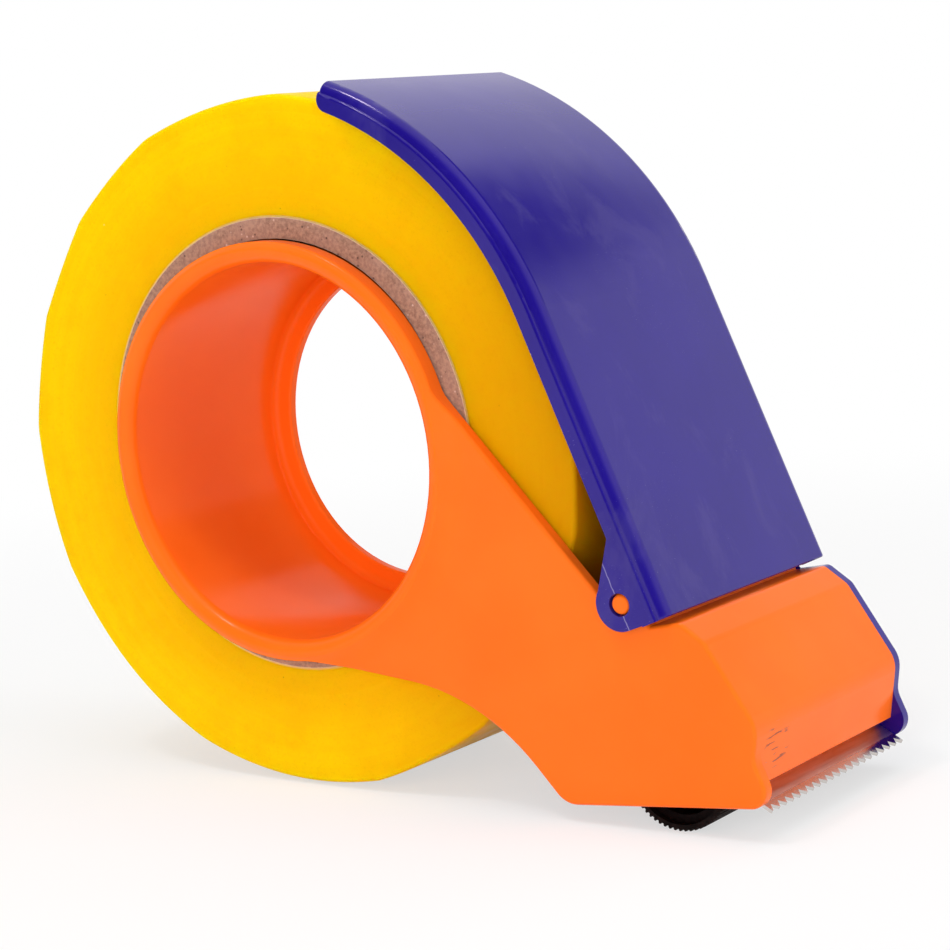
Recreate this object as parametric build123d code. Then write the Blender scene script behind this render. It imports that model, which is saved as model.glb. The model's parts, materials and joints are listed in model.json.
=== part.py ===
from build123d import *
import math
import os

# Hand-held packing tape dispenser, in millimetres.
# The origin is on the hub axis at mid-width, +X points to the blade, +Y to the open far side, +Z up.

# Tape roll
tape_width = 48.0
core_bore_radius = 38.1
core_wall = 3.9
roll_radius = 64.5
roll_edge_round = 0.4

# Clearances
running_gap = 0.3        # between a moving piece and what it passes
shaft_clearance = 0.06   # radial, a turning bore on its shaft
pin_clearance = 0.25     # radial, the cover's ears on their pins
seat_clearance = 0.03    # radial, a fixed shank or pin in its hole
roll_lift = 1.0          # the standing roll's axis lies this far above the hub axis
roll_side_gap = 0.5      # tape to each side plate
cheek_roll_gap = 1.5     # radial, lets the roll slide off past the nose cheek

# Side plate and nose cheek
plate_thickness = 2.4
plate_edge_round = 0.7
ring_band = 3.9          # width of the plate's ring around the hub mouth
cheek_corner_round = 1.2

# Hub
barrel_wall = 1.8
barrel_length = 41.1     # from the plate's inner face to the barrel's open far end
mouth_round = 2.3
collar_rise = 1.7        # how far the collar around the mouth stands proud of the plate
collar_crest = 2.8       # from the bore to where the collar starts to fall
collar_foot = 7.5        # from the bore to where it meets the plate
collar_crest_round = 1.0
flange_reach = 4.0       # how far the barrel's far flange stands inwards
flange_thickness = 1.8
flange_round = 1.6       # inside corner between barrel and flange
flange_edge_round = 0.5

# Guard cover
cover_angle = 22.5       # direction from the roll axis to the line where the cover rests on the roll
cover_slack = 4.5        # how much longer the cover's curve radius is than the roll's
cover_rear_angle = 71.5  # where the curved part ends at the rear
cover_rest_gap = 1.2     # left to a full roll where the cover lies closest to it
sheet_thickness = 0.8
skirt_thickness = 1.6
skirt_depth = 5.0
skirt_step = 0.4         # how far the skirts stand proud of the sheet's rounded edges
skirt_edge_round = 0.6
cover_edge_round = 2.0
rear_corner_round = 2.2
ear_radius = 4.6
ear_notch_back = 11.0    # along the straight part, from the ear's notch to the pivot
pivot_inset = 7.7        # from the sheet's outer face to the pivot
sheet_tail = 4.9         # sheet beyond the pivot
sheet_end_round = 0.4
pin_radius = 1.75
pin_recess = 0.2         # from the ear's face to the pin's end
pin_end_round = 0.6
pin_boss_radius = 4.2

# Nose outline, from the pivot and from the standing surface
chin_height = 20.2
brow_offset = (10.4, -2.8)
crown_offset = (14.9, -5.9)
chin_offset = (23.9, -19.5)
valley_offset = (4.5, -3.8)
lip_offset = (4.0, -0.8)  # upturned end of the nose wall, under the cover's tail
shoulder_offset = (-5.0, 0.5)
waist_forward = 23.0
waist_height = 14.2
toe_forward = 26.4
toe_height = 6.45
heel_back = 14.9
heel_height = 3.0
brow_round = 1.5
crown_round = 3.0
chin_round = 5.0
waist_round = 4.0
toe_round = 3.2
heel_round = 5.0

# Arm between ring and nose
arm_top_angle = 16.5     # where the arm's upper edge leaves the ring
arm_top_blend = 7.0
arm_low_inset = 0.7      # how deep the arm's lower edge starts inside the ring
arm_low_blend = 20.0
knee_offset = (-16.5, 17.9)  # bend of the arm's lower edge, from the heel
knee_round = 42.0

# Nose wall and blade
nose_wall = 2.0
wall_foot_forward = 22.3
wall_foot_height = 9.6
bar_depth = 3.2          # thickened foot of the nose wall, which carries the blade
bar_height = 8.6
blade_thickness = 0.6
blade_flange_height = 7.5
blade_bend_drop = 1.0
blade_reach = 6.3        # bend to tooth tips
blade_tilt = 28.0        # tongue below the horizontal
blade_end_gap = 0.2
tooth_pitch = 2.4
tooth_depth = 1.3
blade_screw_spacing = 30.0
blade_screw_height = 4.6
blade_screw_radius = 1.0
blade_screw_length = 2.6
blade_head_radius = 2.0
blade_head_height = 1.1

# Applicator roller
roller_radius = 10.0
roller_forward = 6.4
roller_end_gap = 0.5
ridge_count = 60
ridge_height = 0.4
ridge_top_share = 0.3    # of the ridge pitch
ridge_flank_share = 0.2
sleeve_wall = 1.1
core_end_recess = 1.5
core_tube_wall = 1.4
core_hub_wall = 1.6
core_web = 3.0
axle_radius = 2.0
axle_chamfer = 0.4
axle_boss_radius = 4.0
axle_boss_length = 5.0
boss_floor = 1.2         # plate left under the blind axle hole

# Posts and screws that hold the nose cheek
post_radius = 3.2
nose_post_offset = (13.4, -14.4)
heel_post_back = 9.0
heel_post_height = 11.5
cheek_screw_radius = 1.4
cheek_screw_length = 12.0
cheek_head_radius = 2.8
cheek_head_height = 1.6
screw_hole_spare = 1.0   # depth left under a screw's tip
screw_hole_gap = 0.25    # radial, a shank in the piece it clamps
head_round_share = 0.45  # of the head's height
tip_chamfer_share = 0.5  # of the shank's radius
recess_depth = 0.7       # cross recess in the screw heads
recess_width_share = 0.3
recess_length_share = 1.3

pick_tolerance = 0.01    # for picking edges and corners by place

# Widths that follow from the roll
half_tape = tape_width / 2
plate_inner = half_tape + roll_side_gap
plate_outer = plate_inner + plate_thickness
ear_inner = plate_outer + running_gap
cover_half = ear_inner + skirt_thickness
sheet_half = cover_half - skirt_step
pin_tip = cover_half - pin_recess
mouth_face = plate_outer + collar_rise
roller_half = plate_inner - roller_end_gap
boss_tip = plate_inner - axle_boss_length

# Sizes of the hub that follow from the roll
core_radius = core_bore_radius + core_wall
barrel_radius = core_bore_radius - roll_lift - running_gap
bore_radius = barrel_radius - barrel_wall
ring_radius = bore_radius + ring_band
flange_radius = bore_radius - flange_reach
barrel_end_y = barrel_length - plate_inner
flange_face_y = barrel_end_y - flange_thickness

# Places in the side view, as (x, z)
roll_axis = (0, roll_lift)
floor_z = roll_lift - roll_radius
out_x = math.cos(math.radians(cover_angle))
out_z = math.sin(math.radians(cover_angle))
rest_radius = roll_radius + cover_rest_gap + sheet_thickness
cover_radius = rest_radius + cover_slack
cover_centre = (-cover_slack * out_x, roll_lift - cover_slack * out_z)

# Lengths along the cover's straight part, from the line where it rests on the roll
pivot_z = floor_z + chin_height - chin_offset[1]
pivot_run = (roll_lift + (rest_radius - pivot_inset) * out_z - pivot_z) / out_x
ear_notch_run = pivot_run - ear_notch_back
sheet_run = pivot_run + sheet_tail


def on_sheet(run, depth):
    """Point of the cover's straight part: along it from the rest line, and below its outer face."""
    reach = rest_radius - depth
    return (reach * out_x + run * out_z, roll_lift + reach * out_z - run * out_x)


def shifted(point, offset):
    return (point[0] + offset[0], point[1] + offset[1])


pivot = on_sheet(pivot_run, pivot_inset)
brow = shifted(pivot, brow_offset)
crown = shifted(pivot, crown_offset)
chin = shifted(pivot, chin_offset)
valley = shifted(pivot, valley_offset)
lip = shifted(pivot, lip_offset)
shoulder = shifted(pivot, shoulder_offset)
waist = (pivot[0] + waist_forward, floor_z + waist_height)
toe = (pivot[0] + toe_forward, floor_z + toe_height)
heel = (pivot[0] - heel_back, floor_z + heel_height)
knee = shifted(heel, knee_offset)
wall_foot = (pivot[0] + wall_foot_forward, floor_z + wall_foot_height)
bar_rear_x = wall_foot[0] - bar_depth
blade_rear_x = bar_rear_x - blade_thickness
blade_screw_z = wall_foot[1] + blade_screw_height
blade_screw_places = (-blade_screw_spacing / 2, blade_screw_spacing / 2)
roller_centre = (pivot[0] + roller_forward, floor_z + roller_radius)
nose_post = shifted(pivot, nose_post_offset)
heel_post = (pivot[0] - heel_post_back, floor_z + heel_post_height)
posts = (nose_post, heel_post)


def slab(profile, low_y, high_y):
    """Solid of a side-view profile between two planes across the width."""
    plane = Plane(origin=(0, high_y, 0), x_dir=(1, 0, 0), z_dir=(0, -1, 0))
    return extrude(plane * profile, amount=high_y - low_y)


def rod(centre, radius, low_y, high_y):
    return slab(Pos(*centre) * Circle(radius), low_y, high_y)


def ring(outer, inner, low_y, high_y, centre=(0, 0)):
    return slab(Pos(*centre) * (Circle(outer) - Circle(inner)), low_y, high_y)


def rounded(profile, corner, radius):
    """Round the profile's corner nearest to a point."""
    vertex = profile.vertices().sort_by_distance((corner[0], corner[1], 0))[0]
    return fillet(vertex, radius)


def inset_chain(points, distance):
    """Points of a chain moved to its right-hand side, mitred at its corners."""
    lines = []
    for start, end in zip(points, points[1:]):
        length = math.dist(start, end)
        normal = ((end[1] - start[1]) / length, -(end[0] - start[0]) / length)
        lines.append((normal, normal[0] * start[0] + normal[1] * start[1] + distance))
    first = lines[0][0]
    moved = [shifted(points[0], (first[0] * distance, first[1] * distance))]
    for (n1, c1), (n2, c2) in zip(lines, lines[1:]):
        cross = n1[0] * n2[1] - n1[1] * n2[0]
        moved.append(((c1 * n2[1] - c2 * n1[1]) / cross, (n1[0] * c2 - n2[0] * c1) / cross))
    return moved


def plate_outline():
    """Side plate seen from the side: ring, arm and nose."""
    arm_top = (ring_radius * math.cos(math.radians(arm_top_angle)),
               ring_radius * math.sin(math.radians(arm_top_angle)))
    arm_low = (0, arm_low_inset - ring_radius)
    corners = [arm_low, knee, heel, toe, waist, chin, crown, brow, valley, pivot, shoulder, arm_top]
    arm = make_face(Polyline(*corners, close=True))
    rounds = [(knee, knee_round), (heel, heel_round), (toe, toe_round), (waist, waist_round),
              (chin, chin_round), (crown, crown_round), (brow, brow_round)]
    for corner, radius in rounds:
        arm = rounded(arm, corner, radius)
    outline = arm + Circle(ring_radius) + Pos(*pivot) * Circle(pin_boss_radius)
    outline = rounded(outline, arm_top, arm_top_blend)
    return rounded(outline, arm_low, arm_low_blend)


def cheek_outline():
    """The part of the side plate's outline that clears the roll."""
    clear_radius = roll_radius + cheek_roll_gap
    outline = plate_outline() - Pos(*roll_axis) * Circle(clear_radius)
    corners = [vertex for vertex in outline.vertices()
               if abs(math.dist((vertex.X, vertex.Y), roll_axis) - clear_radius) < pick_tolerance]
    return fillet(corners, cheek_corner_round)


def on_outline(edge, profile, sign):
    """Whether an edge on a plate's outer side follows the profile it was made from."""
    middle = edge @ 0.5
    outside = all(sign * (edge @ share).Y > plate_inner + pick_tolerance for share in (0, 1))
    return outside and profile.wire().distance_to(Vector(middle.X, middle.Z, 0)) < pick_tolerance


def side_wall(profile, sign, collar=None):
    """Plate with a rounded outer edge, on the near side (-1), where it has a collar, or the far side (1)."""
    plate = slab(profile, *sorted((sign * plate_inner, sign * plate_outer)))
    if collar:
        plate += slab(profile, -mouth_face, -plate_inner) & collar
    return fillet([edge for edge in plate.edges() if on_outline(edge, profile, sign)], plate_edge_round)


def mouth_collar():
    """Collar around the hub's mouth, which falls in a hollow curve to the plate."""
    crest = (bore_radius + collar_crest, -mouth_face)
    foot = (bore_radius + collar_foot, -plate_outer)
    section = [
        Line((0, -plate_inner), (0, -mouth_face)),
        Line((0, -mouth_face), crest),
        TangentArc(foot, crest, tangent=(-1, 0)),
        Line(foot, (foot[0], -plate_inner)),
        Line((foot[0], -plate_inner), (0, -plate_inner)),
    ]
    return revolve(rounded(make_face(section), crest, collar_crest_round), Axis.Y)


def hub_hollow():
    """Inside of the hub: rounded mouth, bore, and the hole in the flange at the far end."""
    lip_y = -mouth_face
    corner_radius = bore_radius - flange_round
    corner_y = flange_face_y - flange_round
    edge_radius = flange_radius + flange_edge_round
    edge_y = flange_face_y + flange_edge_round
    section = [
        Line((0, lip_y), (bore_radius + mouth_round, lip_y)),
        RadiusArc((bore_radius + mouth_round, lip_y), (bore_radius, lip_y + mouth_round), mouth_round),
        Line((bore_radius, lip_y + mouth_round), (bore_radius, corner_y)),
        RadiusArc((bore_radius, corner_y), (corner_radius, flange_face_y), -flange_round),
        Line((corner_radius, flange_face_y), (edge_radius, flange_face_y)),
        RadiusArc((edge_radius, flange_face_y), (flange_radius, edge_y), flange_edge_round),
        Line((flange_radius, edge_y), (flange_radius, barrel_end_y)),
        Line((flange_radius, barrel_end_y), (0, barrel_end_y)),
        Line((0, barrel_end_y), (0, lip_y)),
    ]
    return revolve(make_face(section), Axis.Y)


def nose_shell():
    """Front wall of the nose, with the thick foot that carries the blade."""
    outer = [lip, valley, brow, crown, chin, wall_foot]
    inner = inset_chain(outer, nose_wall)
    foot_rear = (bar_rear_x, wall_foot[1])
    bar_top = (bar_rear_x, wall_foot[1] + bar_height)
    profile = make_face(Polyline(*outer, foot_rear, bar_top, *inner[::-1], close=True))
    for corner, radius in ((brow, brow_round), (crown, crown_round), (chin, chin_round)):
        profile = rounded(profile, corner, radius)
    return slab(profile, -plate_inner, plate_inner)


def axle_boss(sign):
    """Boss for the roller's axle on a plate's inner face."""
    return rod(roller_centre, axle_boss_radius, *sorted((sign * boss_tip, sign * plate_inner)))


def axle_hole(sign):
    """Blind hole for the roller's axle, through the boss and part of the plate."""
    floor_y = plate_outer - boss_floor
    return rod(roller_centre, axle_radius + seat_clearance, *sorted((sign * boss_tip, sign * floor_y)))


def blade_screw_hole(rear_x, y, radius, depth):
    """Hole along +X for a blade screw, from a rear face."""
    place = Plane(origin=(rear_x, y, blade_screw_z), z_dir=(1, 0, 0))
    return extrude(place * Circle(radius), amount=depth)


def hinge_pin(sign):
    """Pin for one ear of the cover, with a rounded end just below the ear's face."""
    pin = rod(pivot, pin_radius, *sorted((sign * plate_inner, sign * pin_tip)))
    tip_y = sign * pin_tip
    return fillet(pin.edges().filter_by_position(Axis.Y, tip_y - pick_tolerance, tip_y + pick_tolerance),
                  pin_end_round)


def main_frame():
    frame = side_wall(plate_outline(), -1, mouth_collar())
    frame += rod((0, 0), barrel_radius, -plate_inner, barrel_end_y)
    frame -= hub_hollow()
    frame += nose_shell()
    frame += hinge_pin(-1)
    for place in posts:
        frame += rod(place, post_radius, -plate_inner, plate_inner)
        hole_end = plate_inner - cheek_screw_length - screw_hole_spare
        frame -= rod(place, cheek_screw_radius + seat_clearance, hole_end, plate_inner)
    frame += axle_boss(-1)
    frame -= axle_hole(-1)
    for y in blade_screw_places:
        frame -= blade_screw_hole(bar_rear_x, y, blade_screw_radius + seat_clearance, blade_screw_length)
    return frame


def nose_cheek():
    cheek = side_wall(cheek_outline(), 1)
    cheek += hinge_pin(1)
    cheek += axle_boss(1)
    cheek -= axle_hole(1)
    for place in posts:
        cheek -= rod(place, cheek_screw_radius + screw_hole_gap, plate_inner, plate_outer)
    return cheek


def cover_band(depth):
    """Side view of the cover from its outer face down to a depth."""
    sweep = cover_rear_angle - cover_angle
    outer = CenterArc(cover_centre, cover_radius, cover_angle, sweep)
    inner = CenterArc(cover_centre, cover_radius - depth, cover_angle, sweep)
    edges = [
        outer,
        Line(outer @ 0, on_sheet(sheet_run, 0)),
        Line(on_sheet(sheet_run, 0), on_sheet(sheet_run, depth)),
        Line(on_sheet(sheet_run, depth), inner @ 0),
        inner,
        Line(inner @ 1, outer @ 1),
    ]
    return make_face(edges)


def skirt_outline():
    """Side view of a skirt with its rounded rear end and the ear around the pivot."""
    rear = math.radians(cover_rear_angle)
    low_radius = cover_radius - skirt_depth
    rear_low = shifted(cover_centre, (low_radius * math.cos(rear), low_radius * math.sin(rear)))
    skirt = rounded(cover_band(skirt_depth), rear_low, rear_corner_round)
    ear_corners = [
        on_sheet(ear_notch_run, skirt_depth),
        (pivot[0] - ear_radius, pivot[1]),
        (pivot[0] + ear_radius * out_z, pivot[1] - ear_radius * out_x),
        on_sheet(sheet_run, 0),
        on_sheet(ear_notch_run, sheet_thickness),
    ]
    return skirt + make_face(Polyline(*ear_corners, close=True)) + Pos(*pivot) * Circle(ear_radius)


def curve_depth(point):
    """How far a point lies below the outer face of the cover's curved part."""
    return cover_radius - math.dist((point.X, point.Z), cover_centre)


def straight_depth(point):
    """How far a point lies below the outer face of the cover's straight part."""
    return rest_radius - point.X * out_x - (point.Z - roll_lift) * out_z


def past_tail(point):
    """How far a point lies beyond the straight part's end."""
    return point.X * out_z - (point.Z - roll_lift) * out_x - sheet_run


def past_rear(point):
    """How far a point lies in front of the curved part's end."""
    rear = math.radians(cover_rear_angle)
    return (point.X - cover_centre[0]) * math.sin(rear) - (point.Z - cover_centre[1]) * math.cos(rear)


def at_depth(point, depth):
    """Whether a point lies at a depth below the cover's outer face, on its curved or its straight part."""
    return min(abs(curve_depth(point) - depth), abs(straight_depth(point) - depth)) < pick_tolerance


def end_edges(shape):
    """Edges around the top of the two end faces of the cover's sheet."""
    return [
        edge for edge in shape.edges()
        for past_end, depth in ((past_tail, straight_depth), (past_rear, curve_depth))
        if all(abs(past_end(edge @ share)) < pick_tolerance for share in (0, 0.5, 1))
        and depth(edge @ 0.5) < cover_edge_round - pick_tolerance
    ]


def upper_edges(shape, half, depth):
    """Edges that run along the cover at a depth, on the planes at a half-width."""
    return [
        edge for edge in shape.edges()
        if abs(abs(edge.center().Y) - half) < pick_tolerance
        and all(at_depth(edge @ share, depth) for share in (0, 0.5, 1))
    ]


def guard_cover():
    """Curved sheet with rounded edges, skirts that stand a little proud of them, and ears on the pins."""
    profile = skirt_outline()
    cover = slab(profile, -sheet_half, sheet_half)
    cover = fillet(upper_edges(cover, sheet_half, 0), cover_edge_round)
    cover = fillet(end_edges(cover), sheet_end_round)
    skirts = slab(profile - cover_band(cover_edge_round), -cover_half, cover_half)
    cover += fillet(upper_edges(skirts, cover_half, cover_edge_round), skirt_edge_round)
    cover -= slab(profile - cover_band(sheet_thickness), -ear_inner, ear_inner)
    return cover - rod(pivot, pin_radius + pin_clearance, -cover_half, cover_half)


def cutting_blade():
    """Bent steel strip: a flange behind the bar and a toothed tongue below it."""
    tilt = math.radians(blade_tilt)
    along = (math.cos(tilt), -math.sin(tilt))
    half = plate_inner - blade_end_gap
    top_z = wall_foot[1] + blade_flange_height
    bend = (bar_rear_x, wall_foot[1] - blade_bend_drop)
    tip = shifted(bend, (along[0] * blade_reach, along[1] * blade_reach))
    low_tip = shifted(tip, (along[1] * blade_thickness, -along[0] * blade_thickness))
    low_bend = (blade_rear_x, bend[1] - blade_thickness * math.tan(math.pi / 4 - tilt / 2))
    section = [(blade_rear_x, top_z), low_bend, low_tip, tip, bend, (bar_rear_x, top_z)]
    blade = slab(make_face(Polyline(*section, close=True)), -half, half)
    tongue = Plane(origin=(tip[0], 0, tip[1]), x_dir=(along[0], 0, along[1]), z_dir=(-along[1], 0, along[0]))
    notch = make_face(Polyline((tooth_depth, -tooth_pitch / 2), (0, -tooth_pitch / 2), (-tooth_depth, 0),
                               (0, tooth_pitch / 2), (tooth_depth, tooth_pitch / 2), close=True))
    count = int(2 * half / tooth_pitch)
    for i in range(count):
        place = tongue * Pos(0, (i - (count - 1) / 2) * tooth_pitch)
        blade -= extrude(place * notch, 2 * blade_thickness, both=True)
    for y in blade_screw_places:
        blade -= blade_screw_hole(blade_rear_x, y, blade_screw_radius + screw_hole_gap, blade_thickness)
    return blade


def screw(head_radius, head_height, radius, length):
    """Pan-head screw with a cross recess: head from z = 0 up, shank below."""
    head = extrude(Circle(head_radius), amount=head_height)
    head = fillet(head.edges().group_by(Axis.Z)[-1], head_height * head_round_share)
    cross_length = head_radius * recess_length_share
    cross_width = head_radius * recess_width_share
    recess = Rectangle(cross_length, cross_width) + Rectangle(cross_width, cross_length)
    head -= extrude(Pos(0, 0, head_height - recess_depth) * recess, amount=recess_depth)
    shank = extrude(Circle(radius), amount=-length)
    return head + chamfer(shank.edges().group_by(Axis.Z)[0], radius * tip_chamfer_share)


def blade_screws():
    length = blade_screw_length + blade_thickness - seat_clearance
    one = screw(blade_head_radius, blade_head_height, blade_screw_radius, length)
    places = [Plane(origin=(blade_rear_x, y, blade_screw_z), z_dir=(-1, 0, 0)) for y in blade_screw_places]
    return Compound([place * one for place in places])


def cheek_screws():
    length = cheek_screw_length + plate_thickness
    one = screw(cheek_head_radius, cheek_head_height, cheek_screw_radius, length)
    places = [Plane(origin=(x, plate_outer, z), z_dir=(0, 1, 0)) for x, z in posts]
    return Compound([place * one for place in places])


def roller_sleeve():
    """Rubber sleeve with ridges along its length."""
    root_radius = roller_radius - ridge_height
    steps = [(-ridge_top_share / 2, roller_radius), (ridge_top_share / 2, roller_radius),
             (ridge_top_share / 2 + ridge_flank_share, root_radius),
             (1 - ridge_top_share / 2 - ridge_flank_share, root_radius)]
    points = []
    for i in range(ridge_count):
        for share, radius in steps:
            angle = 2 * math.pi * (i + share) / ridge_count - math.pi / 2
            points.append((radius * math.cos(angle), radius * math.sin(angle)))
    tread = make_face(Polyline(*points, close=True)) - Circle(roller_radius - sleeve_wall)
    return slab(Pos(*roller_centre) * tread, -roller_half, roller_half)


def roller_core():
    """Tube under the sleeve, with a web at mid-width and a hub on the axle."""
    outer = roller_radius - sleeve_wall
    half = roller_half - core_end_recess
    bore = axle_radius + shaft_clearance
    hub_half = boss_tip - running_gap
    core = ring(outer, outer - core_tube_wall, -half, half, roller_centre)
    core += ring(outer, bore, -core_web / 2, core_web / 2, roller_centre)
    return core + ring(bore + core_hub_wall, bore, -hub_half, hub_half, roller_centre)


def roller_axle():
    half = plate_outer - boss_floor - running_gap
    axle = rod(roller_centre, axle_radius, -half, half)
    return chamfer(axle.edges().filter_by(GeomType.CIRCLE), axle_chamfer)


def tape_core():
    return ring(core_radius, core_bore_radius, -half_tape, half_tape, roll_axis)


def tape_roll():
    roll = ring(roll_radius, core_radius, -half_tape, half_tape, roll_axis)
    rims = roll.edges().filter_by(GeomType.CIRCLE).sort_by(SortBy.RADIUS)[-2:]
    return fillet(rims, roll_edge_round)


pieces = {
    "main_frame": main_frame(),
    "nose_cheek": nose_cheek(),
    "guard_cover": guard_cover(),
    "cutting_blade": cutting_blade(),
    "blade_screws": blade_screws(),
    "cheek_screws": cheek_screws(),
    "roller_sleeve": roller_sleeve(),
    "roller_core": roller_core(),
    "roller_axle": roller_axle(),
    "tape_core": tape_core(),
    "tape_roll": tape_roll(),
}

os.makedirs("parts", exist_ok=True)
for node, shape in pieces.items():
    export_step(shape, f"parts/{node}.step")
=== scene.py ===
import json
import math

import bmesh
import bpy
from mathutils import Matrix, Vector


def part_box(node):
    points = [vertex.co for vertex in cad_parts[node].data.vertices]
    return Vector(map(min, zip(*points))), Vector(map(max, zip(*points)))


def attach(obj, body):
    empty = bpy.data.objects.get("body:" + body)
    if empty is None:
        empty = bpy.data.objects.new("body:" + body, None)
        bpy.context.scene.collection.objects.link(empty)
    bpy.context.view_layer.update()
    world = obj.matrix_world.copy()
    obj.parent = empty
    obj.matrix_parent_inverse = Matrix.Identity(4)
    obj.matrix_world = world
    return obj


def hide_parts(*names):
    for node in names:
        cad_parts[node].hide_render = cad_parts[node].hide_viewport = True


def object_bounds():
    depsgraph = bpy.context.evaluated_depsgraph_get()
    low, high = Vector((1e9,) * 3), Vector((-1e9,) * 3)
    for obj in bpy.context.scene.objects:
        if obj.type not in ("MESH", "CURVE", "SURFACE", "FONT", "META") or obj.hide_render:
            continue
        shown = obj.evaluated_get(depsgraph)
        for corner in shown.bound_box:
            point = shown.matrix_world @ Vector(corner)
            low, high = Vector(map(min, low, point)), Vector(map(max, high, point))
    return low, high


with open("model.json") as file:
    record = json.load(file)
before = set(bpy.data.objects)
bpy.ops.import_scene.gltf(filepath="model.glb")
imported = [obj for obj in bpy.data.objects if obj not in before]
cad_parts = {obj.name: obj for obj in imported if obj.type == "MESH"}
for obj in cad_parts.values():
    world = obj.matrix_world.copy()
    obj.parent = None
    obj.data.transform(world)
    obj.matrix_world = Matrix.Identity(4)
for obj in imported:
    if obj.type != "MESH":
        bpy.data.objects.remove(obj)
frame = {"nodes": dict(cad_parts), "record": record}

CAD_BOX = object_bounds()
MM = 0.001
NODES = frame["nodes"]
BLACK = (0.0, 0.0, 0.0, 1.0)
WHITE = (1.0, 1.0, 1.0, 1.0)

# Camera, in degrees and in millimetres of the part's frame
CAMERA_AZIMUTH = 36.020
CAMERA_ELEVATION = 8.214
CAMERA_ROLL = -4.0035
CAMERA_TARGET = (25.140, 0.0, -7.650)
CAMERA_DISTANCE = 472.46
CAMERA_LENS = 95.874
CAMERA_SENSOR = 36.0

# Floor, in metres
FLOOR_SIZE = 12.0
FLOOR_COLOUR = (0.90, 0.90, 0.90, 1.0)
FLOOR_CLEAR = (0.12, 0.42)       # it fades to plain white between these distances
FLOOR_WHITE_SHARE = 0.60         # plain white mixed in close to the object

# Light from all round, and what reflections show. Heights and depths are those of a direction of length 1
AMBIENT = 0.34                   # world strength for diffuse light
CEILING_TONE = 0.08              # the room above the white backdrop
FRONT_TONE = 0.02                # the unlit room on the camera's side
BACKDROP_TOP = 0.60              # height at which the white backdrop ends
BACKDROP_SLOPE = 0.50            # its upper edge falls by this to the right
BACKDROP_SOFT = 0.03
BACKDROP_FRONT = (-0.90, 0.05)   # it turns into the room between these depths
BACKDROP_MIDDLE = 0.79           # in front of this depth its upper edge rises
BACKDROP_WRAP = 1.2              # by this much for each unit of depth
OVERHEAD_TONE = 0.15             # the top lamp's cloth
OVERHEAD_RISE = (0.72, 0.95)     # it comes in between these heights

# Colours, as linear red, green and blue
ORANGE_DEEP = (0.985, 0.150, 0.0065, 1)
ORANGE_PALE = (1.0, 0.166, 0.0095, 1)
ORANGE_DUST = (0.95, 0.50, 0.25, 1)
ORANGE_GRIME = (0.40, 0.06, 0.01, 1)
ORANGE_SCUFF = (0.17, 0.05, 0.035, 1)
BLUE_DEEP = (0.0095, 0.0034, 0.190, 1)
BLUE_PALE = (0.0120, 0.0048, 0.212, 1)
BLUE_HAZE = (0.20, 0.17, 0.33, 1)
BLUE_SCRATCH = (0.30, 0.27, 0.52, 1)
BLUE_DUST = (0.50, 0.46, 0.62, 1)
BLUE_KNIT = (0.42, 0.38, 0.62, 1)
BLUE_GLOSS = (1.0, 0.80, 1.0, 1)
BLUE_SHEEN = (0.62, 0.22, 1.0, 1)
EDGE_DEEP = (0.93, 0.470, 0.0003, 1)
EDGE_PALE = (0.985, 0.590, 0.0004, 1)
FILM_DEEP = (0.99, 0.28, 0.0003, 1)
FILM_PALE = (0.999, 0.34, 0.0004, 1)
TAPE_BAND = (0.92, 0.46, 0.0003, 1)
TAPE_TURN = (1.0, 0.67, 0.004, 1)
TAPE_CLOUD = (0.88, 0.40, 0.0003, 1)
TAPE_GRAIN = (0.78, 0.38, 0.0003, 1)
TAPE_DUST = (1.0, 0.80, 0.36, 1)
TAPE_GRIME = (0.34, 0.16, 0.003, 1)
# Painted shade, which darkens the roll's sides towards one side
TAPE_PAINTED_SHADE = (0.66, 0.27, 0.0003, 1)
TAPE_LEAD = (1.0, 0.64, 0.22, 1)
BOARD_DEEP = (0.26, 0.135, 0.094, 1)
BOARD_PALE = (0.475, 0.262, 0.175, 1)
BOARD_CLOUD = (0.46, 0.26, 0.20, 1)
BOARD_PLY = (0.34, 0.19, 0.15, 1)
BOARD_FLECK = (0.07, 0.032, 0.026, 1)
BOARD_SPECK = (0.78, 0.56, 0.47, 1)
BOARD_RIM = (0.92, 0.64, 0.40, 1)
BLADE_PALE = (0.95, 0.86, 0.83, 1)
BLADE_DEEP = (0.82, 0.74, 0.71, 1)
BLADE_GROUND = (0.62, 0.60, 0.58, 1)
SCREW_PALE = (0.66, 0.66, 0.68, 1)
SCREW_DEEP = (0.46, 0.46, 0.48, 1)
RUBBER_DEEP = (0.005, 0.0028, 0.0026, 1)
RUBBER_WORN = (0.018, 0.0100, 0.0085, 1)
RUBBER_DUST = (0.036, 0.020, 0.017, 1)
CORE_DEEP = (0.0035, 0.0015, 0.0015, 1)
CORE_PALE = (0.008, 0.004, 0.004, 1)

# Scuff strokes on the nose, in metres: their middle, and the distances between which they die out
SCUFF_PLACE = (0.0972, -0.0190, -0.0480)
SCUFF_FADE = (0.0052, 0.0026)

# Knit line on the near ear, which runs through the pivot pin: its lean from upright in degrees
KNIT_PIN = (73.92 * MM, -23.80 * MM)
KNIT_EAR_FACE = -27.6 * MM
KNIT_LEAN = 22.5
KNIT_REACH = (-10.5 * MM, 6.0 * MM)
KNIT_WIDTH = 0.13 * MM
KNIT_WOBBLE = 0.3 * MM
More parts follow.
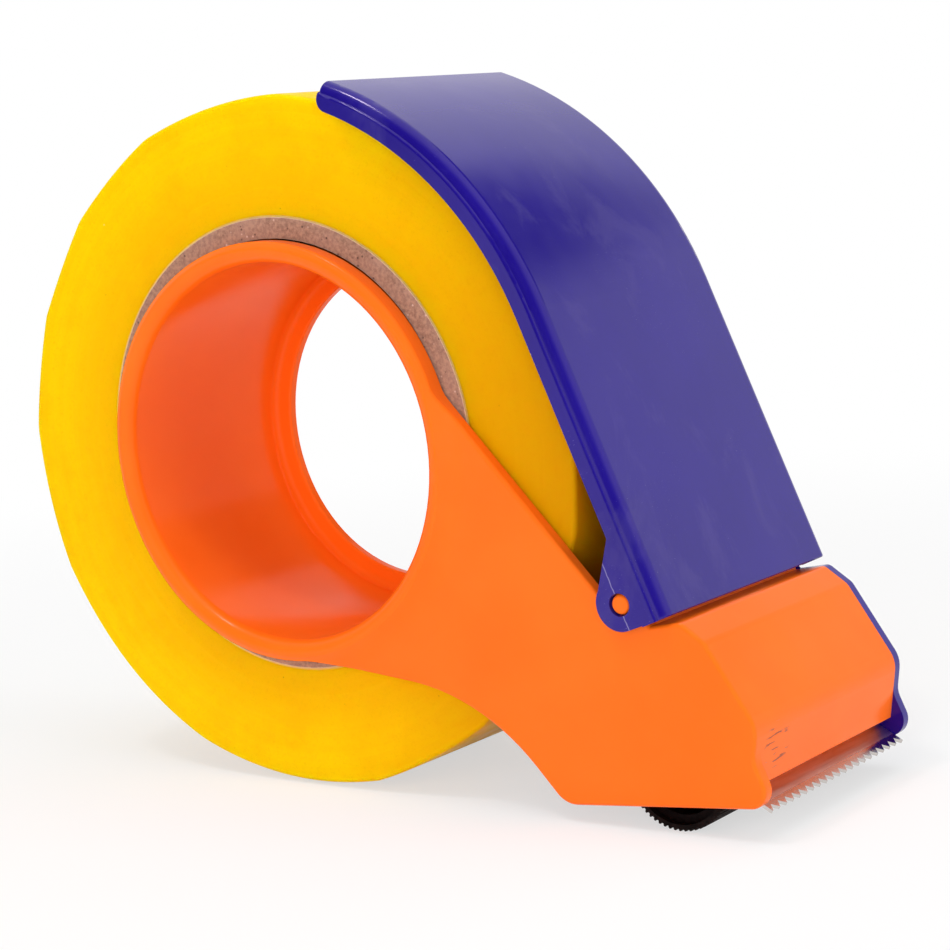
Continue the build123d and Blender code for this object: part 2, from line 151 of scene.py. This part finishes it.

# The roll's film: the radii between which it pales outwards, which is painted light standing in for light
# that enters the outer turns; also where dirt gathers and where its first turn lies
TAPE_LIT_RADII = (43.0 * MM, 63.0 * MM)
TAPE_DIRTY_RADII = (52.0 * MM, 43.0 * MM)
TAPE_LEAD_RADII = (42.38 * MM, 42.20 * MM)
TAPE_PAINTED_SHADE_ANGLE = -8.0                      # painted shade: the roll's sides are darker towards one side, and this turns with the roll
TAPE_PAINTED_SHADE_REACH = (10.0 * MM, 64.0 * MM)
TAPE_GLOW_SPREAD = (1.0, 0.30, 0.02)
BOARD_RIM_RADII = (41.82 * MM, 41.96 * MM)   # pale outer edge of the cardboard core

# Depths of worn surfaces: ground teeth behind the blade's tip, and dusty tops of the roller's ridges
BLADE_GROUND_REACH = (2.1 * MM, 1.6 * MM)
RUBBER_WORN_REACH = (0.4 * MM, 0.05 * MM)

# Wound roll: its outline is a little out of round and its turns stand unevenly at the sides
ROLL_STEPS = 288
ROLL_RIM = 0.9 * MM
ROLL_RIM_STEPS = 5
ROLL_TURN_STEPS = 30
ROLL_WIDTH_STEPS = 10
ROLL_DENT = 0.25 * MM
ROLL_WAVES = ((5, 0.10 * MM, 0.6), (7, 0.08 * MM, 2.1))    # count, height and phase
ROLL_FLATS = 13                                            # a slack roll settles into flats
ROLL_FLAT_SHARE = 0.28                                     # of the depth that true flats would have
ROLL_FLAT_DRIFT = 0.22                                     # makes the flats uneven in length
ROLL_FLAT_DRIFT_PHASE = 1.0
ROLL_FLAT_START = 0.10
ROLL_SIDE_WAVE = 0.10 * MM
ROLL_RIPPLES = ((2100.0, 0.0), (5300.0, 1.0))              # radians for each metre of radius, and phase
ROLL_RIPPLE_SHARE = 0.3
ROLL_WARP_COUNT = 3
ROLL_WARP_TWIST = 200.0                                    # radians for each metre of radius
ROLL_WARP_SHARE = 0.4


class Graph:
    """Adds and joins shader nodes."""

    def __init__(self, tree):
        self.tree = tree
        tree.nodes.clear()

    def feed(self, socket, value):
        if isinstance(value, bpy.types.NodeSocket):
            self.tree.links.new(value, socket)
        else:
            socket.default_value = value

    def add(self, kind, inputs=None, **settings):
        node = self.tree.nodes.new(kind)
        for name, value in settings.items():
            setattr(node, name, value)
        for name, value in (inputs or {}).items():
            self.feed(node.inputs[name], value)
        return node

    def math(self, operation, first, second=0.0, clamp=False):
        node = self.add("ShaderNodeMath", operation=operation, use_clamp=clamp)
        self.feed(node.inputs[0], first)
        self.feed(node.inputs[1], second)
        return node.outputs[0]

    def mix(self, share, first, second):
        node = self.add("ShaderNodeMix", data_type="RGBA")
        self.feed(node.inputs[0], share)
        self.feed(node.inputs[6], first)
        self.feed(node.inputs[7], second)
        return node.outputs[2]

    def tint(self, colour, mask, share, tone):
        """Mixes a share of a tone into a colour where the mask is 1."""
        return self.mix(self.math("MULTIPLY", mask, share), colour, tone)

    def span(self, value, low, high, out_low=0.0, out_high=1.0):
        """Smooth step of a value from low to high."""
        node = self.add("ShaderNodeMapRange", interpolation_type="SMOOTHSTEP")
        for name, item in (("Value", value), ("From Min", low), ("From Max", high),
                           ("To Min", out_low), ("To Max", out_high)):
            self.feed(node.inputs[name], item)
        return node.outputs["Result"]

    def place(self):
        """Position in the part's frame, in metres, which rides with the piece."""
        return self.add("ShaderNodeTexCoord").outputs["Object"]

    def axes(self, vector):
        node = self.add("ShaderNodeSeparateXYZ", {"Vector": vector})
        return node.outputs["X"], node.outputs["Y"], node.outputs["Z"]

    def mapped(self, vector, scale, turn=(0, 0, 0)):
        angles = [math.radians(angle) for angle in turn]
        turned = self.add("ShaderNodeMapping", {"Vector": vector, "Rotation": angles}).outputs[0]
        return self.add("ShaderNodeMapping", {"Vector": turned, "Scale": scale}).outputs[0]

    def noise(self, vector, scale, detail, roughness=0.5, distortion=0.0):
        node = self.add("ShaderNodeTexNoise", {"Vector": vector, "Scale": scale, "Detail": detail,
                                               "Roughness": roughness, "Distortion": distortion})
        return node.outputs["Fac"]

    def specks(self, vector, scale, radius, share, core=0.4):
        """Small dots, one in each of a share of the cells of a grid, full within the core of their radius."""
        cells = self.add("ShaderNodeTexVoronoi", {"Vector": vector, "Scale": scale})
        pick = self.add("ShaderNodeSeparateColor", {"Color": cells.outputs["Color"]}).outputs[0]
        dot = self.span(cells.outputs["Distance"], radius * scale, core * radius * scale)
        return self.math("MULTIPLY", dot, self.math("LESS_THAN", pick, share))

    def scratches(self, vector, turn, along, across, share, core=0.6):
        """Short fine lines in one direction, only where a wider noise lets them through."""
        lines = self.noise(self.mapped(vector, (along, across, across), turn), scale=1.0, detail=1.0)
        fine = self.span(lines, 1.0 - share, 1.0 - core * share)
        patch = self.span(self.noise(vector, scale=55.0, detail=2.0), low=0.50, high=0.62)
        return self.math("MULTIPLY", fine, patch)

    def bump(self, height, depth, normal=None):
        inputs = {"Height": height, "Distance": depth, "Strength": 1.0}
        if normal:
            inputs["Normal"] = normal
        return self.add("ShaderNodeBump", inputs).outputs["Normal"]

    def line(self, across, along, width, start, end, core=0.3):
        """Mask of a thin straight line: across and along are distances in metres from its start."""
        thin = self.span(self.math("ABSOLUTE", across), width, core * width)
        after = self.math("GREATER_THAN", along, start)
        before = self.math("LESS_THAN", along, end)
        return self.math("MULTIPLY", thin, self.math("MULTIPLY", after, before))

    def distance(self, first, second):
        """Length of the vector whose two parts are given."""
        squares = (self.math("MULTIPLY", part, part) for part in (first, second))
        return self.math("SQRT", self.math("ADD", *squares))

    def surface(self, **inputs):
        named = {name.replace("_", " "): value for name, value in inputs.items()}
        self.finish(self.add("ShaderNodeBsdfPrincipled", named).outputs[0])

    def finish(self, shader):
        in_world = isinstance(self.tree.id_data, bpy.types.World)
        kind = "ShaderNodeOutputWorld" if in_world else "ShaderNodeOutputMaterial"
        self.add(kind, {"Surface": shader})


def new_material(name):
    material = bpy.data.materials.new(name)
    material.use_nodes = True
    return material, Graph(material.node_tree)


def orange_plastic():
    """Glossy moulded plastic with faint flow clouds, dust specks, and scuff strokes on the nose."""
    material, g = new_material("orange_plastic_look")
    place = g.place()
    clouds = g.span(g.noise(place, scale=42.0, detail=3.0), low=0.30, high=0.70)
    colour = g.mix(clouds, ORANGE_DEEP, ORANGE_PALE)
    dust = g.specks(place, scale=95.0, radius=0.20 * MM, share=0.10)
    colour = g.tint(colour, dust, share=0.35, tone=ORANGE_DUST)
    grime = g.specks(place, scale=60.0, radius=0.15 * MM, share=0.08)
    colour = g.tint(colour, grime, share=0.5, tone=ORANGE_GRIME)
    strokes = g.noise(g.mapped(place, scale=(500.0, 260.0, 1900.0)), scale=1.0, detail=2.0)
    away = g.add("ShaderNodeVectorMath", {0: place, 1: SCUFF_PLACE}, operation="DISTANCE").outputs["Value"]
    spot = g.span(away, *SCUFF_FADE)
    scuff = g.math("MULTIPLY", g.span(strokes, low=0.575, high=0.64), spot)
    colour = g.tint(colour, scuff, share=0.85, tone=ORANGE_SCUFF)
    rough = g.span(g.noise(place, scale=90.0, detail=2.0), low=0.3, high=0.7, out_low=0.17, out_high=0.25)
    rough = g.math("ADD", rough, g.math("MULTIPLY", scuff, 0.2))
    normal = g.bump(g.noise(place, scale=60.0, detail=1.0), depth=0.07 * MM)
    g.surface(Base_Color=colour, Roughness=rough, Normal=normal, IOR=1.45, Specular_IOR_Level=0.18)
    return material


def knit_line(g, place):
    """Mask of the line on the near ear where the moulding's flows met around the pin."""
    x, y, z = g.axes(place)
    lean = math.radians(KNIT_LEAN)
    from_pin_x = g.math("SUBTRACT", x, KNIT_PIN[0])
    from_pin_z = g.math("SUBTRACT", z, KNIT_PIN[1])
    across = g.math("ADD", g.math("MULTIPLY", from_pin_x, math.cos(lean)),
                    g.math("MULTIPLY", from_pin_z, math.sin(lean)))
    along = g.math("SUBTRACT", g.math("MULTIPLY", from_pin_x, math.sin(lean)),
                   g.math("MULTIPLY", from_pin_z, math.cos(lean)))
    waver = g.math("SUBTRACT", g.noise(place, scale=900.0, detail=1.0), 0.5)
    across = g.math("ADD", across, g.math("MULTIPLY", waver, KNIT_WOBBLE))
    knit = g.line(across, along, KNIT_WIDTH, *KNIT_REACH)
    return g.math("MULTIPLY", knit, g.math("LESS_THAN", y, KNIT_EAR_FACE))


def blue_plastic():
    """Glossy moulded plastic with handling haze, fine scratches and dust, and the near ear's knit line."""
    material, g = new_material("blue_plastic_look")
    place = g.place()
    clouds = g.span(g.noise(place, scale=38.0, detail=3.0), low=0.3, high=0.7)
    colour = g.mix(clouds, BLUE_DEEP, BLUE_PALE)
    smears = g.noise(g.mapped(place, scale=(1.0, 1.0, 0.6)), scale=62.0, detail=5.0, roughness=0.62,
                     distortion=0.6)
    haze = g.span(smears, low=0.52, high=0.66)
    colour = g.tint(colour, haze, share=0.07, tone=BLUE_HAZE)
    marks = g.math("MAXIMUM", g.scratches(place, turn=(0, 25, 12), along=160.0, across=5200.0, share=0.27),
                   g.scratches(place, turn=(20, -30, 70), along=190.0, across=5200.0, share=0.25))
    colour = g.tint(colour, marks, share=0.45, tone=BLUE_SCRATCH)
    dust = g.specks(place, scale=85.0, radius=0.20 * MM, share=0.22)
    colour = g.tint(colour, dust, share=0.65, tone=BLUE_DUST)
    knit = knit_line(g, place)
    colour = g.tint(colour, knit, share=0.5, tone=BLUE_KNIT)
    rough = g.span(g.noise(place, scale=110.0, detail=3.0), low=0.3, high=0.7, out_low=0.11, out_high=0.16)
    rough = g.math("ADD", rough, g.math("MULTIPLY", haze, 0.05))
    normal = g.bump(g.noise(place, scale=48.0, detail=1.5), depth=0.10 * MM)
    cuts = g.math("MULTIPLY", g.math("ADD", marks, knit), -1.0)
    normal = g.bump(cuts, depth=0.010 * MM, normal=normal)
    g.surface(Base_Color=colour, Roughness=rough, Normal=normal, IOR=1.47, Specular_Tint=BLUE_GLOSS,
              Sheen_Weight=0.10, Sheen_Roughness=0.30, Sheen_Tint=BLUE_SHEEN)
    return material


def roll_radius_of(g, place):
    """Distance from the roll's axis, in metres."""
    x, _, z = g.axes(place)
    low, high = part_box("tape_core")
    return g.distance(x, g.math("SUBTRACT", z, (low[2] + high[2]) / 2))


def along_radius(g, radius):
    """Vector that changes with the radius alone, for patterns that follow the turns."""
    return g.add("ShaderNodeCombineXYZ", {"X": radius}).outputs[0]


def painted_shade_side(g, place):
    """Mask of painted shade, which rises towards one side of the roll."""
    x, _, z = g.axes(place)
    lean = math.radians(TAPE_PAINTED_SHADE_ANGLE)
    along = g.math("ADD", g.math("MULTIPLY", x, math.cos(lean)), g.math("MULTIPLY", z, math.sin(lean)))
    return g.span(along, *TAPE_PAINTED_SHADE_REACH)


def yellow_tape(name, deep, pale, painted_shade_share, gloss, coat, glow, glow_depth):
    """Wound clear film, yellow in depth: fine turns seen edge-on, and dust held by the adhesive edges."""
    material, g = new_material(name)
    place = g.place()
    radius = roll_radius_of(g, place)
    out = along_radius(g, radius)
    turns = g.noise(out, scale=1700.0, detail=2.0, roughness=0.6)
    bands = g.noise(out, scale=300.0, detail=2.0)
    grain = g.noise(place, scale=1900.0, detail=3.0, roughness=0.7)
    # Painted light: paler towards the outer turns, where light enters the film.
    colour = g.mix(g.span(radius, *TAPE_LIT_RADII), deep, pale)
    colour = g.mix(g.span(bands, low=0.40, high=0.70, out_high=0.26), colour, TAPE_BAND)
    colour = g.mix(g.span(turns, low=0.50, high=0.75, out_high=0.20), colour, TAPE_TURN)
    clouds = g.span(g.noise(place, scale=60.0, detail=4.0, roughness=0.6), low=0.42, high=0.72)
    colour = g.tint(colour, clouds, share=0.38, tone=TAPE_CLOUD)
    colour = g.mix(g.span(grain, low=0.50, high=0.72, out_high=0.30), colour, TAPE_GRAIN)
    dust = g.specks(place, scale=170.0, radius=0.26 * MM, share=0.16)
    colour = g.tint(colour, dust, share=0.6, tone=TAPE_DUST)
    patches = g.span(g.noise(place, scale=45.0, detail=2.0), low=0.48, high=0.62)
    dirty = g.math("ADD", g.span(radius, *TAPE_DIRTY_RADII), patches, clamp=True)
    grime = g.math("MULTIPLY", g.specks(place, scale=330.0, radius=0.22 * MM, share=0.30), dirty)
    colour = g.tint(colour, grime, share=0.55, tone=TAPE_GRIME)
    # Painted shade: the roll's sides darken towards one side.
    if painted_shade_share:
        colour = g.tint(colour, painted_shade_side(g, place), painted_shade_share, TAPE_PAINTED_SHADE)
    colour = g.tint(colour, g.span(radius, *TAPE_LEAD_RADII), share=0.8, tone=TAPE_LEAD)
    rough = g.span(g.noise(place, scale=220.0, detail=3.0), low=0.3, high=0.7, out_low=0.34, out_high=0.50)
    normal = g.bump(turns, depth=0.02 * MM)
    normal = g.bump(g.noise(place, scale=80.0, detail=2.0), depth=0.10 * MM, normal=normal)
    g.surface(Base_Color=colour, Roughness=rough, Normal=normal, IOR=1.49, Specular_IOR_Level=gloss,
              Subsurface_Weight=glow, Subsurface_Radius=TAPE_GLOW_SPREAD, Subsurface_Scale=glow_depth,
              Coat_Weight=coat, Coat_Roughness=0.10)
    return material


def tape_edge():
    """The sides of the roll, where the turns' edges show."""
    return yellow_tape("yellow_tape_edge_look", EDGE_DEEP, EDGE_PALE, painted_shade_share=0.90, gloss=0.03, coat=0.0,
                       glow=0.5, glow_depth=10.0 * MM)


def tape_film():
    """The outer turn of the roll, smooth and glossy."""
    return yellow_tape("yellow_tape_film_look", FILM_DEEP, FILM_PALE, painted_shade_share=0.0, gloss=0.40, coat=0.25,
                       glow=1.0, glow_depth=12.0 * MM)


def cardboard():
    """Grey-brown wound board with fibres, dark flecks and the edges of its plies."""
    material, g = new_material("cardboard_look")
    place = g.place()
    radius = roll_radius_of(g, place)
    fibres = g.noise(place, scale=1300.0, detail=4.0, roughness=0.7)
    clouds = g.noise(place, scale=150.0, detail=3.0)
    plies = g.noise(along_radius(g, radius), scale=1900.0, detail=1.0)
    colour = g.mix(g.span(fibres, low=0.3, high=0.7), BOARD_DEEP, BOARD_PALE)
    colour = g.mix(g.span(clouds, low=0.4, high=0.7, out_high=0.35), colour, BOARD_CLOUD)
    colour = g.mix(g.span(plies, low=0.52, high=0.7, out_high=0.3), colour, BOARD_PLY)
    flecks = g.specks(place, scale=900.0, radius=0.30 * MM, share=0.22)
    colour = g.tint(colour, flecks, share=0.80, tone=BOARD_FLECK)
    pale = g.specks(place, scale=760.0, radius=0.28 * MM, share=0.18)
    colour = g.tint(colour, pale, share=0.6, tone=BOARD_SPECK)
    colour = g.tint(colour, g.span(radius, *BOARD_RIM_RADII), share=0.7, tone=BOARD_RIM)
    g.surface(Base_Color=colour, Roughness=0.86, Normal=g.bump(fibres, depth=0.12 * MM))
    return material


def brushed(name, pale, deep, grain, rough_low, rough_high):
    """Brushed metal, its grain drawn out along one axis."""
    material, g = new_material(name)
    place = g.place()
    lines = g.noise(g.mapped(place, scale=grain), scale=1.0, detail=3.0, roughness=0.65)
    clouds = g.noise(place, scale=170.0, detail=3.0)
    tone = g.mix(g.span(lines, low=0.35, high=0.68), deep, pale)
    tone = g.mix(g.span(clouds, low=0.5, high=0.75, out_high=0.4), tone, deep)
    rough = g.span(lines, low=0.3, high=0.7, out_low=rough_low, out_high=rough_high)
    normal = g.bump(lines, depth=0.003 * MM)
    return material, g, tone, rough, normal


def blade_steel():
    """Stamped strip steel, with ground bright teeth."""
    material, g, tone, rough, normal = brushed("blade_steel_look", BLADE_PALE, BLADE_DEEP,
                                               grain=(1500.0, 70.0, 1500.0), rough_low=0.30, rough_high=0.40)
    x = g.axes(g.place())[0]
    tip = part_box("cutting_blade")[1][0]
    ground = g.span(x, *(tip - reach for reach in BLADE_GROUND_REACH))
    tone = g.mix(ground, tone, BLADE_GROUND)
    rough = g.math("SUBTRACT", rough, g.math("MULTIPLY", ground, 0.18))
    g.surface(Base_Color=tone, Metallic=1.0, Roughness=rough, Normal=normal)
    return material


def screw_steel():
    """Zinc-plated steel."""
    material, g, tone, rough, normal = brushed("screw_steel_look", SCREW_PALE, SCREW_DEEP,
                                               grain=(900.0, 900.0, 900.0), rough_low=0.26, rough_high=0.42)
    g.surface(Base_Color=tone, Metallic=1.0, Roughness=rough, Normal=normal)
    return material


def black_rubber():
    """Ridged rubber, dusty on its ridges."""
    material, g = new_material("black_rubber_look")
    place = g.place()
    x, _, z = g.axes(place)
    low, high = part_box("roller_sleeve")
    radius = g.distance(g.math("SUBTRACT", x, (low[0] + high[0]) / 2),
                        g.math("SUBTRACT", z, (low[2] + high[2]) / 2))
    outer = (high[0] - low[0]) / 2
    worn = g.span(radius, *(outer - reach for reach in RUBBER_WORN_REACH))
    dust = g.span(g.noise(place, scale=700.0, detail=4.0, roughness=0.65), low=0.42, high=0.75)
    colour = g.tint(RUBBER_DEEP, worn, share=0.6, tone=RUBBER_WORN)
    colour = g.tint(colour, dust, share=0.30, tone=RUBBER_DUST)
    rough = g.span(g.noise(place, scale=400.0, detail=3.0), low=0.3, high=0.7, out_low=0.48, out_high=0.66)
    normal = g.bump(g.noise(place, scale=1800.0, detail=3.0), depth=0.04 * MM)
    g.surface(Base_Color=colour, Roughness=rough, Normal=normal, Specular_IOR_Level=0.06)
    return material


def black_plastic():
    """Dull moulded plastic of the roller's core."""
    material, g = new_material("black_plastic_look")
    place = g.place()
    grain = g.noise(place, scale=1500.0, detail=3.0, roughness=0.6)
    colour = g.mix(g.span(grain, low=0.35, high=0.7), CORE_DEEP, CORE_PALE)
    rough = g.span(g.noise(place, scale=250.0, detail=3.0), low=0.3, high=0.7, out_low=0.42, out_high=0.58)
    normal = g.bump(grain, depth=0.03 * MM)
    g.surface(Base_Color=colour, Roughness=rough, Normal=normal, Specular_IOR_Level=0.05)
    return material


def roll_dent(angle, outer):
    """How far the roll's outer surface lies inside the CAD roll at an angle."""
    wave = sum(height * math.sin(count * angle + phase) for count, height, phase in ROLL_WAVES)
    half_flat = math.pi / ROLL_FLATS
    drifted = angle + ROLL_FLAT_DRIFT * math.sin(2 * angle + ROLL_FLAT_DRIFT_PHASE) + ROLL_FLAT_START
    within = drifted % (2 * half_flat) - half_flat
    flat = outer * (1 - math.cos(half_flat) / math.cos(within))
    return max(0.0, ROLL_DENT + wave + ROLL_FLAT_SHARE * flat)


def roll_side(radius, angle):
    """How far a side face lies inside the CAD roll's face."""
    ripples = sum(math.sin(radius * pace + phase) for pace, phase in ROLL_RIPPLES)
    warp = math.sin(ROLL_WARP_COUNT * angle + radius * ROLL_WARP_TWIST)
    return ROLL_SIDE_WAVE * (1.0 + ROLL_RIPPLE_SHARE * ripples + ROLL_WARP_SHARE * warp)


def roll_section(angle, inner, outer, half):
    """Radius and Y along the roll's outline at an angle, and how many of the points are on one side."""
    dent = roll_dent(angle, outer)
    flat_end = outer - ROLL_RIM
    side = []
    for i in range(ROLL_TURN_STEPS + 1):
        radius = inner + (flat_end - inner) * i / ROLL_TURN_STEPS
        share = (radius - inner) / (flat_end - inner)
        side.append((radius - dent * share, half - roll_side(radius, angle)))
    rim_y = half - roll_side(flat_end, angle)
    for i in range(ROLL_RIM_STEPS):
        bend = math.pi / 2 * (i + 1) / ROLL_RIM_STEPS
        side.append((flat_end - dent + ROLL_RIM * math.sin(bend), rim_y - ROLL_RIM * (1 - math.cos(bend))))
    edge_y = side[-1][1]
    across = []
    for k in range(ROLL_WIDTH_STEPS - 1):
        across.append((outer - dent, -edge_y * (1 - 2 * (k + 1) / ROLL_WIDTH_STEPS)))
    return [(radius, -y) for radius, y in side] + across + side[::-1], len(side)


def wound_roll():
    """The roll of tape, with its sides in its first material and its outer turn in its second."""
    low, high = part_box("tape_roll")
    inner = (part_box("tape_core")[1][0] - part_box("tape_core")[0][0]) / 2
    outer = (high[0] - low[0]) / 2
    half = (high[1] - low[1]) / 2
    axis_z = (low[2] + high[2]) / 2
    mesh = bmesh.new()
    rows = []
    for i in range(ROLL_STEPS):
        angle = 2 * math.pi * i / ROLL_STEPS
        section, side_count = roll_section(angle, inner, outer, half)
        rows.append([mesh.verts.new((radius * math.cos(angle), y, axis_z + radius * math.sin(angle)))
                     for radius, y in section])
    count = len(rows[0])
    film_start = side_count - ROLL_RIM_STEPS
    film_end = count - film_start - 1
    for i in range(ROLL_STEPS):
        here, there = rows[i], rows[(i + 1) % ROLL_STEPS]
        for k in range(count):
            after = (k + 1) % count
            face = mesh.faces.new((here[k], here[after], there[after], there[k]))
            face.material_index = int(film_start <= k < film_end)
    bmesh.ops.recalc_face_normals(mesh, faces=mesh.faces)
    for face in mesh.faces:
        face.smooth = True
    data = bpy.data.meshes.new("wound_roll")
    mesh.to_mesh(data)
    mesh.free()
    piece = bpy.data.objects.new("wound_roll", data)
    bpy.context.scene.collection.objects.link(piece)
    return piece


def dress(piece, *materials):
    piece.data.materials.clear()
    for material in materials:
        piece.data.materials.append(material)


def dress_pieces():
    looks = {
        "orange_plastic": orange_plastic(),
        "blue_plastic": blue_plastic(),
        "blade_steel": blade_steel(),
        "screw_steel": screw_steel(),
        "black_rubber": black_rubber(),
        "black_plastic": black_plastic(),
        "cardboard": cardboard(),
        "yellow_tape": tape_edge(),
    }
    for part in frame["record"]["subparts"]:
        dress(NODES[part["node"]], looks[part["material_slot"]])
    roll = wound_roll()
    dress(roll, looks["yellow_tape"], tape_film())
    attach(roll, "roll_body")
    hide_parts("tape_roll")


def make_floor():
    """Pale floor that keeps the shadow close to the object and fades to plain white around it."""
    bpy.ops.mesh.primitive_plane_add(size=FLOOR_SIZE, location=(0, 0, CAD_BOX[0][2]))
    floor = bpy.context.object
    floor.name = "floor"
    material, g = new_material("floor_look")
    path = g.add("ShaderNodeLightPath")
    away = g.add("ShaderNodeVectorMath", {0: g.place()}, operation="LENGTH").outputs["Value"]
    far = g.span(away, *FLOOR_CLEAR, FLOOR_WHITE_SHARE, 1.0)
    mirrored = g.math("ADD", path.outputs["Is Glossy Ray"], path.outputs["Is Transmission Ray"])
    seen = g.math("ADD", path.outputs["Is Camera Ray"], mirrored, clamp=True)
    paper = g.add("ShaderNodeBsdfDiffuse", {"Color": FLOOR_COLOUR})
    white = g.add("ShaderNodeEmission", {"Color": WHITE, "Strength": 1.0})
    both = g.add("ShaderNodeMixShader", {"Fac": g.math("MULTIPLY", far, seen)})
    g.feed(both.inputs[1], paper.outputs[0])
    g.feed(both.inputs[2], white.outputs[0])
    g.finish(both.outputs[0])
    floor.data.materials.append(material)


def make_world():
    """White where it is seen, softer for diffuse light. Reflections also show an unlit ceiling and front."""
    world = bpy.data.worlds.new("studio")
    bpy.context.scene.world = world
    world.use_nodes = True
    g = Graph(world.node_tree)
    path = g.add("ShaderNodeLightPath")
    x, y, z = g.axes(g.add("ShaderNodeTexCoord").outputs["Generated"])
    over_top = g.math("SUBTRACT", g.math("ADD", z, g.math("MULTIPLY", x, BACKDROP_SLOPE)), BACKDROP_TOP)
    forward = g.math("SUBTRACT", BACKDROP_MIDDLE, g.math("MINIMUM", y, BACKDROP_MIDDLE))
    over_top = g.math("SUBTRACT", over_top, g.math("MULTIPLY", forward, BACKDROP_WRAP))
    behind = g.span(y, *BACKDROP_FRONT)
    backdrop = g.span(over_top, BACKDROP_SOFT, -BACKDROP_SOFT, CEILING_TONE, 1.0)
    mirrored = g.add("ShaderNodeMix", {0: behind, 2: FRONT_TONE, 3: backdrop}).outputs[0]
    mirrored = g.math("ADD", mirrored, g.span(z, *OVERHEAD_RISE, 0.0, OVERHEAD_TONE))
    seen = g.math("ADD", path.outputs["Is Camera Ray"], path.outputs["Is Transmission Ray"], clamp=True)
    strength = g.mix(seen, (AMBIENT, AMBIENT, AMBIENT, 1), WHITE)
    strength = g.mix(path.outputs["Is Glossy Ray"], strength, g.mix(mirrored, BLACK, WHITE))
    shader = g.add("ShaderNodeBackground", {"Color": strength, "Strength": 1.0})
    g.finish(shader.outputs[0])


def softbox(name, place, target, size, power, mirrored=False):
    """Soft rectangular lamp in metres and watts, which reflections show only if it is mirrored."""
    data = bpy.data.lights.new(name, "AREA")
    data.shape = "RECTANGLE"
    data.size, data.size_y = size
    data.energy = power
    lamp = bpy.data.objects.new(name, data)
    bpy.context.scene.collection.objects.link(lamp)
    lamp.location = place
    lamp.rotation_mode = "QUATERNION"
    lamp.rotation_quaternion = (Vector(target) - Vector(place)).to_track_quat("-Z", "Y")
    lamp.visible_camera = False
    lamp.visible_glossy = mirrored


def make_lights():
    middle = (0.0, 0.0, 0.0)
    softbox("glint_light", place=(-0.15, -0.36, 0.93), target=middle, size=(0.12, 0.12), power=1.4,
            mirrored=True)
    softbox("top_light", place=(0.05, -0.05, 1.05), target=middle, size=(1.4, 1.4), power=7.8)
    softbox("front_light", place=(0.20, -1.40, 0.35), target=middle, size=(1.0, 0.8), power=6.6)
    softbox("fill_light", place=(0.86, -1.08, 0.12), target=(0.03, 0.0, 0.0), size=(0.5, 0.5), power=3.4)
    softbox("side_light", place=(1.25, 0.10, 0.40), target=(0.05, 0.0, 0.0), size=(0.9, 0.9), power=5.6)


def make_camera():
    azimuth, elevation, roll = (math.radians(a) for a in (CAMERA_AZIMUTH, CAMERA_ELEVATION, CAMERA_ROLL))
    back = Vector((math.sin(azimuth) * math.cos(elevation), -math.cos(azimuth) * math.cos(elevation),
                   math.sin(elevation)))
    level_right = Vector((0, 0, 1)).cross(back).normalized()
    level_up = back.cross(level_right)
    right = level_right * math.cos(roll) + level_up * math.sin(roll)
    up = level_up * math.cos(roll) - level_right * math.sin(roll)
    data = bpy.data.cameras.new("camera")
    data.lens = CAMERA_LENS
    data.sensor_width = CAMERA_SENSOR
    camera = bpy.data.objects.new("camera", data)
    bpy.context.scene.collection.objects.link(camera)
    camera.matrix_world = Matrix((right, up, back)).transposed().to_4x4()
    camera.location = (Vector(CAMERA_TARGET) + back * CAMERA_DISTANCE) * MM
    bpy.context.scene.camera = camera


bpy.context.scene.view_settings.view_transform = "Standard"
make_camera()
make_world()
make_lights()
make_floor()
dress_pieces()
